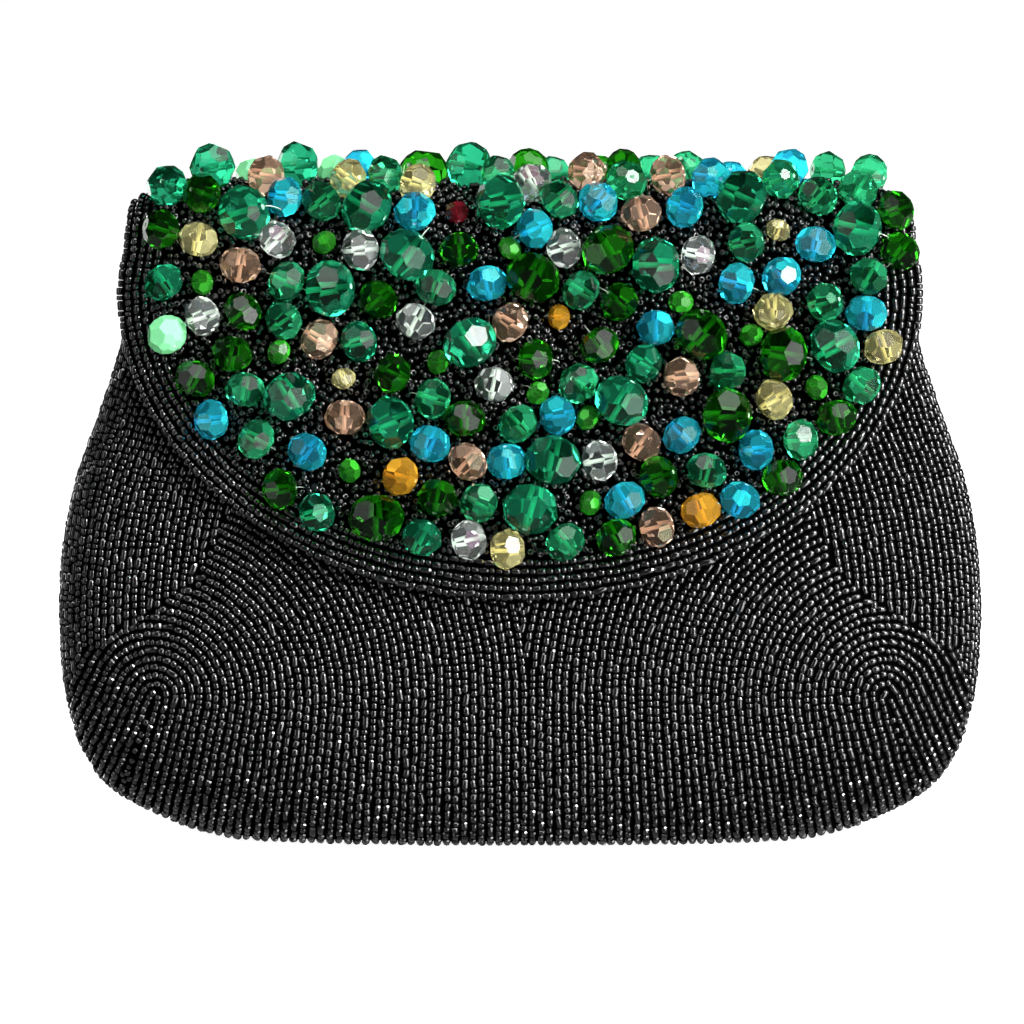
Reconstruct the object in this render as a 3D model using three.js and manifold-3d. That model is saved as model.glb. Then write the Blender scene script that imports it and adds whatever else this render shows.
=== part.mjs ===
// Beaded evening bag: a black seed-beaded pouch under a half-round flap set with faceted glass beads.
// Millimetres, +Z up. The front faces -Y, and the bag stands on the flattened foot of its pouch.

import * as THREE from "three";
import { mergeVertices } from "three/addons/utils/BufferGeometryUtils.js";
import Module from "manifold-3d";

const wasm = await Module();
wasm.setup();

// Cloth walls and the clearances between layers
const PANEL_WALL = 2.8; // lined cloth with its stitched layer of seed beads
const SEAM_GAP = 0.3; // between the two panels along the side and foot seams
const CLASP_ROOM = 2.4; // between the front panel and the closed flap
const LAP_GAP = 0.4; // between the back panel and the flap's sewn tail
const FLAP_CLOTH = 1.6;
const GROUND_GAP = 0.3; // between the flap's cloth and its layer of seed beads
const GROUND = 1.7; // that layer of seed beads, which the glass beads sit in
const FIELD_GAP = 0.3; // between the bead field's two halves, where its front meets the ridge of the fold

// The flap, seen from the front, is half an ellipse under two rounded shoulders
const FLAP_HALF_WIDTH = 96.4;
const FLAP_WIDEST = 133; // height of the ellipse's centre
const FLAP_DROP = 72.3; // from there down to the flap's tip
const FOLD_HEIGHT = 146; // mouth of the pouch, where the flap starts to fold over
const FOLD_RISE = 0.83; // how high the fold stands for its depth, a little pressed down
const FOLD_HALF_WIDTH = 94.6;
const TAIL_HALF_WIDTH = 91.5;
const TAIL_HEIGHT = 133; // lower edge of the tail that is sewn to the back panel

// The hidden magnetic snap
const CLASP_RADIUS = 7;
const CLASP_THICKNESS = 1.7;
const CLASP_HEIGHT = 76;
const CLASP_SIDES = 24;

// How the glass beads are laid out and set on the flap
const FOLD_REACH = 18; // radius of the fold at the beads' centres
const CORNER_SHARE = 1.04; // a cut bead's corners stand a little outside its round form
const EASING_ROUNDS = 20;
const SEATING_ROUNDS = 8;

// Mesh steps across the bag and along the flap
const STEPS_ACROSS = 12;
const FRONT_STEPS = 5;
const FOLD_STEPS = 6;
const WELD = 0.001; // points closer than this are one

// Sections of the pouch from its foot to its mouth. A section's front and back are half ovals of the
// given depths, and a higher fullness squares the oval's ends.
const SECTIONS = [
  { height: 0, halfWidth: 67, front: 21, back: 18, fullness: 2.6 },
  { height: 2, halfWidth: 76.5, front: 24, back: 20.5, fullness: 2.5 },
  { height: 6, halfWidth: 87.6, front: 26, back: 22, fullness: 2.4 },
  { height: 12, halfWidth: 98.6, front: 27.4, back: 23, fullness: 2.3 },
  { height: 20, halfWidth: 105, front: 28, back: 23.6, fullness: 2.3 },
  { height: 32, halfWidth: 109.2, front: 28.2, back: 24, fullness: 2.3 },
  { height: 50, halfWidth: 111.2, front: 27.6, back: 24, fullness: 2.4 },
  { height: 68, halfWidth: 110.7, front: 25.8, back: 23, fullness: 2.6 },
  { height: 86, halfWidth: 107.4, front: 23, back: 21, fullness: 3 },
  { height: 104, halfWidth: 101.2, front: 19, back: 18, fullness: 3.6 },
  { height: 120, halfWidth: 96.2, front: 14.8, back: 14.4, fullness: 5 },
  { height: 133, halfWidth: 94.8, front: 11.8, back: 11.6, fullness: 8 },
  { height: FOLD_HEIGHT, halfWidth: 93, front: 10, back: 10, fullness: 12 },
];

// Faceted glass beads by diameter. A place is a bead's centre seen from the front: across, up.
// On the ridge of the fold it is: across, degrees over the fold from the front.
const LARGE = {
  diameter: 12.4,
  places: [
    [-66, 151.5], [-36.7, 153], [-4.1, 153.8], [53, 155.4], [81, 148], [-27, 141.5], [-45.4, 133.4],
    [3.4, 136.3], [20.4, 142.7], [32.4, 139], [-12, 120.4], [43.6, 122.2], [62.9, 117.7], [75.4, 119.6],
    [-55.2, 107.6], [-31, 101.3], [24.4, 106.4], [49.7, 103.2], [7.8, 92.3], [-34.3, 78.5], [2.4, 80.6],
  ],
  ridge: [[-23.4, 133]],
};
const BROAD = {
  diameter: 10.6,
  places: [],
  ridge: [[-73.7, 84], [-53.4, 95], [-12.2, 88]],
};
const MEDIUM = {
  diameter: 9.2,
  places: [
    [-84.7, 158.2], [-76.3, 156.4], [-61, 160.6], [-56.4, 155.4], [-47.5, 154.4], [-41.3, 160],
    [-32.2, 160.6], [-24.7, 158.6], [-25.2, 151.9], [2.5, 158.9], [9.4, 154.9], [16.1, 161.5],
    [25.6, 159.4], [18.7, 154.2], [35.5, 160.7], [45.8, 160], [39.4, 152.9], [62.6, 159.8], [71.4, 155.6],
    [81, 157.2], [89.5, 152], [90.5, 142], [29, 151.4], [-86, 147.6], [-77, 145.2], [-58.2, 145.2],
    [-38.2, 142.7], [-14.6, 142.7], [3.1, 148.1], [10.3, 143], [42.6, 141.4], [54.2, 144.4], [70.8, 144],
    [-67, 139], [-55.9, 135.1], [-33.9, 130.8], [-85.4, 134.9], [-20.2, 133.7], [-7.9, 134.6],
    [14.5, 133], [23.8, 130.2], [51.8, 134.6], [62.6, 136.3], [84, 136.7], [60.6, 127.7], [73.1, 130.1],
    [83, 127.4], [-66.2, 127.9], [-76.1, 126.7], [-56.6, 125.8], [-84.5, 122.4], [-68.9, 117.8],
    [-48, 121.2], [-38.6, 120.7], [-25, 125.5], [-2.4, 125.3], [32.4, 123.8], [87, 119.6], [3.8, 116.4],
    [19, 119.8], [29.5, 115.4], [-77.8, 111.8], [-65.8, 109.2], [-30.5, 113], [-6.2, 110.4],
    [13.8, 110.4], [38.6, 112.2], [49.3, 113.3], [81.8, 110.2], [-20.9, 107], [60.8, 106.8],
    [-73.9, 102], [-41.9, 102.5], [-13.2, 102.2], [-0.5, 101], [9.1, 103.2], [75.8, 102.5],
    [-63.1, 97.3], [-50.9, 94.3], [-21.5, 96.2], [28.8, 97], [38.7, 98.3], [56.2, 95], [67.2, 97.2],
    [-12.5, 91.9], [-3.2, 92], [19, 92.2], [-28.6, 88.4], [33.1, 88.3], [44.6, 89.8], [62.6, 88.3],
    [-57.4, 85.4], [-48.5, 79.8], [-19.7, 83.3], [-9.9, 82], [25, 82.6], [52.6, 82.8], [43.2, 80.3],
    [32.6, 76.3], [-23.5, 73.8], [-12.2, 73.2], [-3, 71], [10.8, 72.7], [23, 73.9],
  ],
  ridge: [
    [-63.9, 126], [-44.8, 122], [-38.7, 100], [-4.8, 66], [2, 104], [8, 124], [19.9, 120], [25.1, 92],
    [31.6, 122], [40, 108], [51.2, 131], [58.9, 122], [64.6, 96], [73.9, 110], [83.4, 112],
  ],
};

const SEED_BLACK = new THREE.MeshStandardMaterial({ color: 0x08080a, roughness: 0.2, metalness: 0 });
const CLOTH_BLACK = new THREE.MeshStandardMaterial({ color: 0x0c0c0d, roughness: 0.85, metalness: 0 });
const GLASS_TEAL = new THREE.MeshStandardMaterial({ color: 0x1f8f8c, roughness: 0.08, metalness: 0 });
const SNAP_STEEL = new THREE.MeshStandardMaterial({ color: 0x8c8c90, roughness: 0.35, metalness: 1 });

// The pouch's section at any height, between two rows of the table
function sectionAt(height) {
  const above = SECTIONS.findIndex((row) => row.height >= height);
  const upper = SECTIONS[above < 0 ? SECTIONS.length - 1 : Math.max(above, 1)];
  const lower = SECTIONS[SECTIONS.indexOf(upper) - 1];
  const share = THREE.MathUtils.clamp((height - lower.height) / (upper.height - lower.height), 0, 1);
  const between = (column) => THREE.MathUtils.lerp(lower[column], upper[column], share);
  return {
    halfWidth: between("halfWidth"),
    front: between("front"),
    back: between("back"),
    fullness: between("fullness"),
  };
}

// How much of its full depth a section keeps at a distance across from its middle
function ovalShare(across, halfWidth, fullness) {
  const remaining = 1 - Math.pow(Math.abs(across) / halfWidth, fullness);
  return Math.sqrt(Math.max(remaining, 0));
}

// Columns across the bag from -1 to 1, closer together towards its sides
function columnShares() {
  const shares = [];
  for (let step = 0; step <= STEPS_ACROSS; step += 1) {
    shares.push(Math.sin((Math.PI / 2) * ((2 * step) / STEPS_ACROSS - 1)));
  }
  return shares;
}

// A closed wall from two matching grids of points, given row by row: its outer and its inner face
function wallGeometry(outer, inner) {
  const rows = outer.length;
  const columns = outer[0].length;
  const positions = [...outer.flat(), ...inner.flat()].flatMap((point) => point.toArray());
  const outerAt = (row, column) => row * columns + column;
  const innerAt = (row, column) => rows * columns + outerAt(row, column);
  const triangles = [];
  const addQuad = (a, b, c, d) => triangles.push([a, b, c], [a, c, d]);
  for (let row = 0; row + 1 < rows; row += 1) {
    for (let column = 0; column + 1 < columns; column += 1) {
      const [next, up] = [column + 1, row + 1];
      addQuad(outerAt(row, column), outerAt(row, next), outerAt(up, next), outerAt(up, column));
      addQuad(innerAt(row, column), innerAt(up, column), innerAt(up, next), innerAt(row, next));
    }
    const last = columns - 1;
    const up = row + 1;
    addQuad(outerAt(row, 0), outerAt(up, 0), innerAt(up, 0), innerAt(row, 0));
    addQuad(outerAt(row, last), innerAt(row, last), innerAt(up, last), outerAt(up, last));
  }
  for (let column = 0; column + 1 < columns; column += 1) {
    const next = column + 1;
    const top = rows - 1;
    addQuad(outerAt(0, column), innerAt(0, column), innerAt(0, next), outerAt(0, next));
    addQuad(outerAt(top, column), outerAt(top, next), innerAt(top, next), innerAt(top, column));
  }
  const loose = new THREE.BufferGeometry();
  loose.setAttribute("position", new THREE.Float32BufferAttribute(positions, 3));
  loose.setIndex(triangles.flat());
  return withoutSlivers(mergeVertices(loose, WELD));
}

// The same surface without triangles that have lost a corner where two points met
function withoutSlivers(geometry) {
  const corners = geometry.index.array;
  const kept = [];
  for (let first = 0; first < corners.length; first += 3) {
    const triangle = [...corners.slice(first, first + 3)];
    if (new Set(triangle).size === 3) {
      kept.push(...triangle);
    }
  }
  geometry.setIndex(kept);
  return geometry;
}

// One panel of the pouch: side is -1 for the front and 1 for the back
function panelGeometry(side) {
  const shares = columnShares();
  const depthOf = (section) => (side < 0 ? section.front : section.back);
  const seam = (side * SEAM_GAP) / 2;
  const face = (inset) => {
    const rows = SECTIONS.map((section) => {
      const height = Math.max(section.height, inset);
      const level = sectionAt(height);
      const halfWidth = level.halfWidth - inset;
      const depth = depthOf(level) - inset - SEAM_GAP / 2;
      return shares.map((share) => {
        const bulge = depth * ovalShare(share, 1, level.fullness);
        return new THREE.Vector3(halfWidth * share, seam + side * bulge, height);
      });
    });
    const footSeam = rows[0].map((point) => new THREE.Vector3(point.x, seam, point.z));
    return [footSeam, ...rows];
  };
  const outer = face(0);
  const inner = face(PANEL_WALL);
  return side < 0 ? wallGeometry(outer, inner) : wallGeometry(mirrored(outer), mirrored(inner));
}

// The rows of a grid read from the other end, which turns its faces round
function mirrored(rows) {
  return rows.map((row) => [...row].reverse());
}

// Front depth and back depth of the flap's surface at a height, offset being its distance from the pouch
function flapDepths(across, height, offset) {
  const section = sectionAt(height);
  const share = ovalShare(across, section.halfWidth + CLASP_ROOM + offset, section.fullness);
  return {
    front: (section.front + CLASP_ROOM + offset) * share,
    back: (section.back + LAP_GAP + offset) * share,
  };
}

// A point on the flap's front face
function frontPoint(across, height, offset) {
  return new THREE.Vector3(across, -flapDepths(across, height, offset).front, height);
}

// A point on the flap's fold, at an angle that runs from the front over the mouth to the back
function foldPoint(across, angle, offset) {
  const { front, back } = flapDepths(across, FOLD_HEIGHT, offset);
  const radius = (front + back) / 2;
  const middle = (back - front) / 2;
  return new THREE.Vector3(
    across,
    middle - radius * Math.cos(angle),
    FOLD_HEIGHT + FOLD_RISE * radius * Math.sin(angle),
  );
}

// Height of the flap's lower edge at a distance across from its middle
function flapEdge(across) {
  return FLAP_WIDEST - FLAP_DROP * ovalShare(across, FLAP_HALF_WIDTH, 2);
}

// Rows of one face of the flap from its front edge up to the top row, which is left out
function frontRows(offset, top) {
  const shares = columnShares();
  const { lerp, smoothstep } = THREE.MathUtils;
  const rows = [];
  for (let step = 0; step < FRONT_STEPS; step += 1) {
    rows.push(shares.map((share) => {
      const edge = flapEdge(FLAP_HALF_WIDTH * share);
      const height = lerp(edge, top, step / FRONT_STEPS);
      const narrowing = smoothstep(height, FLAP_WIDEST, FOLD_HEIGHT);
      const halfWidth = lerp(FLAP_HALF_WIDTH, FOLD_HALF_WIDTH, narrowing);
      return frontPoint(halfWidth * share, height, offset);
    }));
  }
  return rows;
}

// Rows of one face of the flap over the fold and down to the end of its tail
function foldRows(offset) {
  const shares = columnShares();
  const rows = [];
  for (let step = 0; step <= FOLD_STEPS; step += 1) {
    const turn = step / FOLD_STEPS;
    const halfWidth = THREE.MathUtils.lerp(FOLD_HALF_WIDTH, TAIL_HALF_WIDTH, turn);
    rows.push(shares.map((share) => foldPoint(halfWidth * share, Math.PI * turn, offset)));
  }
  rows.push(shares.map((share) => {
    const across = TAIL_HALF_WIDTH * share;
    return new THREE.Vector3(across, flapDepths(across, TAIL_HEIGHT, offset).back, TAIL_HEIGHT);
  }));
  return rows;
}

// One face of the whole flap, from its front edge to the end of its tail
function flapFace(offset) {
  return [...frontRows(offset, FOLD_HEIGHT), ...foldRows(offset)];
}

// One face of the flap's front alone, which stops just short of the fold
function frontFace(offset) {
  const top = FOLD_HEIGHT - FIELD_GAP;
  const topRow = columnShares().map((share) => frontPoint(FOLD_HALF_WIDTH * share, top, offset));
  return [...frontRows(offset, top), topRow];
}

// Offsets of the layers from the inner face of the flap's cloth
const GROUND_INSIDE = FLAP_CLOTH + GROUND_GAP;
const GROUND_OUTSIDE = GROUND_INSIDE + GROUND;

// All glass beads laid out flat: across, and along the flap up its front and over the fold
function laidOutBeads() {
  const { clamp, degToRad } = THREE.MathUtils;
  const beads = [];
  for (const { diameter, places, ridge } of [LARGE, BROAD, MEDIUM]) {
    const radius = diameter / 2;
    for (const [across, up] of places) {
      const rise = clamp((up - FOLD_HEIGHT) / FOLD_REACH, 0, 1);
      beads.push({ radius, across, along: Math.min(up, FOLD_HEIGHT) + FOLD_REACH * Math.asin(rise) });
    }
    for (const [across, degrees] of ridge) {
      beads.push({ radius, across, along: FOLD_HEIGHT + FOLD_REACH * degToRad(degrees) });
    }
  }
  return beads;
}

// Beads that run into each other are eased apart, on the flat
function easeApart(beads) {
  for (let round = 0; round < EASING_ROUNDS; round += 1) {
    beads.forEach((bead, index) => {
      for (const other of beads.slice(index + 1)) {
        const across = other.across - bead.across;
        const along = other.along - bead.along;
        const distance = Math.hypot(across, along);
        const push = Math.max(bead.radius + other.radius - distance, 0) / (2 * distance);
        bead.across -= push * across;
        bead.along -= push * along;
        other.across += push * across;
        other.along += push * along;
      }
    });
  }
  return beads;
}

// Where a bead sits on the flap: its centre, and the direction that its table faces
function seatOf(bead) {
  const lift = bead.radius - GROUND;
  if (bead.along <= FOLD_HEIGHT) {
    return frontSeat(bead.across, bead.along, lift);
  }
  const angle = (bead.along - FOLD_HEIGHT) / FOLD_REACH;
  const normal = new THREE.Vector3(0, -Math.cos(angle), Math.sin(angle));
  const centre = foldPoint(bead.across, angle, GROUND_OUTSIDE).addScaledVector(normal, lift);
  return { centre, normal };
}

// A seat on the flap's front, whose centre stands off the ground by lift and is seen at the given place
function frontSeat(across, up, lift) {
  const probe = 0.5;
  const damping = 0.7;
  const foot = { across, up };
  const seat = { centre: new THREE.Vector3(), normal: new THREE.Vector3() };
  for (let round = 0; round < SEATING_ROUNDS; round += 1) {
    const point = frontPoint(foot.across, foot.up, GROUND_OUTSIDE);
    const sideways = frontPoint(foot.across + probe, foot.up, GROUND_OUTSIDE).sub(point);
    const upwards = frontPoint(foot.across, foot.up + probe, GROUND_OUTSIDE).sub(point);
    seat.normal.crossVectors(sideways, upwards).normalize();
    seat.centre.copy(point).addScaledVector(seat.normal, lift);
    foot.across += damping * (across - seat.centre.x);
    foot.up += damping * (up - seat.centre.z);
  }
  return seat;
}

// A bead cut with twelve five-sided facets, one of them its table, and grown by a margin
function beadGeometry({ radius, seat, twist }, margin) {
  const goldenRatio = (1 + Math.sqrt(5)) / 2;
  const tableDirection = new THREE.Vector3(1, 0, goldenRatio).normalize();
  const bead = new THREE.DodecahedronGeometry(CORNER_SHARE * radius + margin);
  const turn = new THREE.Quaternion().setFromUnitVectors(tableDirection, seat.normal);
  turn.premultiply(new THREE.Quaternion().setFromAxisAngle(seat.normal, twist));
  bead.applyQuaternion(turn);
  bead.translate(...seat.centre.toArray());
  return bead;
}

// A geometry as a solid, and back
function solidOf(geometry) {
  geometry.deleteAttribute("normal");
  geometry.deleteAttribute("uv");
  const merged = mergeVertices(geometry, WELD);
  return new wasm.Manifold(new wasm.Mesh({
    numProp: 3,
    vertProperties: new Float32Array(merged.attributes.position.array),
    triVerts: new Uint32Array(merged.index.array),
  }));
}
function geometryOf(solid) {
  const mesh = solid.getMesh();
  const geometry = new THREE.BufferGeometry();
  geometry.setAttribute("position", new THREE.BufferAttribute(mesh.vertProperties, mesh.numProp));
  geometry.setIndex(new THREE.BufferAttribute(mesh.triVerts, 1));
  return geometry;
}

// Every glass bead in its place, turned so that neighbours never line up
function seatedBeads() {
  const twistStep = 2.4; // radians
  return easeApart(laidOutBeads()).map((bead, index) => {
    return { ...bead, seat: seatOf(bead), twist: index * twistStep };
  });
}

// A solid with beads fused to it, or with room cut for beads that stand on the neighbouring half
function withBeads(solid, beads) {
  return beads.reduce((whole, bead) => whole.add(solidOf(beadGeometry(bead, 0))), solid);
}
function withRoomFor(solid, beads) {
  return beads.reduce((whole, bead) => whole.subtract(solidOf(beadGeometry(bead, FIELD_GAP))), solid);
}

// The flap's layer of seed beads with every glass bead fused to it, in two halves: the front, and the
// ridge of the fold with its tail. A bead that leans over the line between them keeps its whole form.
function beadFieldHalves() {
  const beads = seatedBeads();
  const onFront = beads.filter((bead) => bead.along <= FOLD_HEIGHT);
  const onRidge = beads.filter((bead) => bead.along > FOLD_HEIGHT);
  const nearLine = (bead) => Math.abs(bead.along - FOLD_HEIGHT) < 2 * bead.radius;
  const frontGround = solidOf(wallGeometry(frontFace(GROUND_OUTSIDE), frontFace(GROUND_INSIDE)));
  const ridgeGround = solidOf(wallGeometry(foldRows(GROUND_OUTSIDE), foldRows(GROUND_INSIDE)));
  const front = withRoomFor(withBeads(frontGround, onFront), onRidge.filter(nearLine));
  const ridge = withBeads(withRoomFor(ridgeGround, onFront.filter(nearLine)), onRidge);
  return { front: geometryOf(front), ridge: geometryOf(ridge) };
}

// The snap lies flat on the slope of the front panel, halfway between it and the flap
function claspMesh() {
  const probe = CLASP_RADIUS;
  const low = frontPoint(0, CLASP_HEIGHT - probe, -CLASP_ROOM / 2);
  const high = frontPoint(0, CLASP_HEIGHT + probe, -CLASP_ROOM / 2);
  const disc = new THREE.CylinderGeometry(CLASP_RADIUS, CLASP_RADIUS, CLASP_THICKNESS, CLASP_SIDES);
  const clasp = new THREE.Mesh(disc, SNAP_STEEL);
  clasp.name = "clasp";
  clasp.position.addVectors(low, high).multiplyScalar(0.5);
  clasp.rotation.x = -Math.atan2(high.y - low.y, high.z - low.z);
  return clasp;
}

function namedMesh(name, geometry, material) {
  const mesh = new THREE.Mesh(geometry, material);
  mesh.name = name;
  return mesh;
}

const field = beadFieldHalves();
const bag = new THREE.Group();
bag.add(namedMesh("front_panel", panelGeometry(-1), SEED_BLACK));
bag.add(namedMesh("back_panel", panelGeometry(1), SEED_BLACK));
bag.add(namedMesh("flap", wallGeometry(flapFace(FLAP_CLOTH), flapFace(0)), CLOTH_BLACK));
bag.add(namedMesh("bead_field", field.front, GLASS_TEAL));
bag.add(namedMesh("bead_ridge", field.ridge, GLASS_TEAL));
bag.add(claspMesh());

// The origin is the middle of the bag's footprint, on the surface that it stands on
const middle = new THREE.Box3().setFromObject(bag).getCenter(new THREE.Vector3());
bag.position.set(-middle.x, -middle.y, 0);

export default bag;
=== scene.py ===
"""Beaded evening bag: a pouch of black seed beads under a half-round flap set with faceted glass beads."""

import math
from functools import partial

import bmesh
import bpy
import numpy as np
from mathutils import Matrix, Vector
from mathutils.kdtree import KDTree


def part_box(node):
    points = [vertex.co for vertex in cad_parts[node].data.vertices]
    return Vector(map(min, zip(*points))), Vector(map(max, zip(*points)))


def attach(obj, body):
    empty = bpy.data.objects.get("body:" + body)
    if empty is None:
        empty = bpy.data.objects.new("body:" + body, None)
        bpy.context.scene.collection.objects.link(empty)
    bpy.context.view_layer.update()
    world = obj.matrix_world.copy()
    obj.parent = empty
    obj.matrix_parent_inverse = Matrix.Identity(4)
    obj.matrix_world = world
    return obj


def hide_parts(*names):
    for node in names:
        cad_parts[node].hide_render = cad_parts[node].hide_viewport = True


bl_info = {
    "name": "Beaded evening bag",
    "version": (1, 0, 0),
    "blender": (4, 5, 0),
    "location": "3D View > Sidebar > Bag",
    "description": "Dresses a beaded evening bag with cloth, rows of seed beads and faceted glass beads",
    "category": "Object",
}

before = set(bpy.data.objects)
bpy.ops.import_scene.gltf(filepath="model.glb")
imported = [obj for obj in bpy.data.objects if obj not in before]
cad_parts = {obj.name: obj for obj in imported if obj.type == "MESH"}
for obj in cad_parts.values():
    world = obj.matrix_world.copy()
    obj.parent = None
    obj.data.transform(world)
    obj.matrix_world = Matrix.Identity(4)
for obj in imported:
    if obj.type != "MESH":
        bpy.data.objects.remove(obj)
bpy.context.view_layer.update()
BODY = "root"
MM = 0.001
RANDOM_SEED = 7

# The pouch and flap, in millimetres from the seam plane, as the solids have them
SEAM_GAP = 0.3
SEAM_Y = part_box("front_panel")[1][1] / MM + SEAM_GAP / 2
MOUTH = 146
SECTION_HEIGHTS = np.array([0, 2, 6, 12, 20, 32, 50, 68, 86, 104, 120, 133, MOUTH], float)
HALF_WIDTHS = np.array([67, 76.5, 87.6, 98.6, 105, 109.2, 111.2, 110.7, 107.4, 101.2, 96.2, 94.8, 93])
FRONT_DEPTHS = np.array([21, 24, 26, 27.4, 28, 28.2, 27.6, 25.8, 23, 19, 14.8, 11.8, 10])
BACK_DEPTHS = np.array([18, 20.5, 22, 23, 23.6, 24, 24, 23, 21, 18, 14.4, 11.6, 10])
FULLNESSES = np.array([2.6, 2.5, 2.4, 2.3, 2.3, 2.3, 2.4, 2.6, 3, 3.6, 5, 8, 12])
FRONT = -1
BACK = 1
CLASP_ROOM = 2.4
LAP_GAP = 0.4
FLAP_HALF_WIDTH = 96.4
FLAP_WIDEST = 133
FLAP_DROP = 72.3
FOLD_RISE = 0.83
FOLD_HALF_WIDTH = 94.6
TAIL_HALF_WIDTH = 91.5
TAIL_HEIGHT = 133

# Layers, measured from the pouch's outer face or from the inner face of the flap
SEED_INSET = 0.95
CLOTH_INSET = 1.2
CLOTH_WALL = 0.8
FLAP_CLOTH_INSIDE = 0.2
FLAP_CLOTH_OUTSIDE = 1.55
FLAP_SEED_OFFSET = 2.5
GLASS_FOOT_OFFSET = 1.9

# How finely the cloths are divided
CLOTH_COLUMNS = 72
POUCH_CLOTH_ROWS = 60
FLAP_CLOTH_ROWS = 72

# The photograph's camera, from the seam plane. The chart's heights are as it sees them.
CAMERA_ELEVATION = math.radians(5)
AIM_ACROSS = -1.92
AIM_DEPTH = -14
AIM_HEIGHT = 79.9
PIXEL = 0.24

# How the rows of seed beads run over the pouch: arches about a core near each lower corner, legs that
# fall from them to the foot, and rows beside the side seams that end on the arches
ROWS_TO_CORE = 44
CORE_HEIGHT = 36
INNER_SLANT = math.radians(16)
OUTER_SLANT = math.radians(23)
SLANT_EASING = 1.6
MEETING_ACROSS = np.array([0, 60, 72, 76.3, 82.8, 88.8, 97, 104.6, 107.5, 109.5])
MEETING_HEIGHT = np.array([150, 92, 76, 66.5, 58.8, 55.2, 50.5, 45, 38, 26])
ARCH_REACH = 150
PAST_FOOT = 10
UNDER_FLAP = 14
ROW_STEP = 0.1
FOOT_LEVEL = 1.0

# Seed beads along a row: most are near one length and a few are longer
SEED_LENGTH = 1.7
LENGTH_SPREAD = 0.4
SHORTEST_SEED = 1.12
LONGEST_SEED = 2.6
LONG_SHARE = 0.07
LONG_EXTRA = 1.0
SEED_GAP = 0.14

# How far a seed bead strays: sideways, outwards, and in its direction
SEED_STRAY = np.array([0.11, 0.07, 0.12])

# Least distance between the middles of two seed beads, and the room that they leave round a glass bead
CLOSEST_IN_ROWS = 1.2
CLOSEST_LOOSE = 1.3
ROW_CLEARANCE = 0.45
LOOSE_CLEARANCE = 0.3

# The flap's border rows and the loose ground between its glass beads
BORDER_ROWS = 5
BORDER_OVERHANG = 0.4
GROUND_REACH = 13.9
BEAD_REACH = 18
LOOSE_END = math.radians(135)
TAIL_TOP = MOUTH + math.pi * GROUND_REACH
TAIL_END = TAIL_TOP + MOUTH - TAIL_HEIGHT

# Share of the glass beads' holes where the sewing thread shows
BARE_THREADS = 0.15

# Facets in a belt of a glass bead, how much its size varies, and its shares of that size along each axis
GLASS_SIDES = 7
GLASS_SPREAD = (0.98, 1.03)
GLASS_FLATTENING = (1, 1, 0.96)

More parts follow.
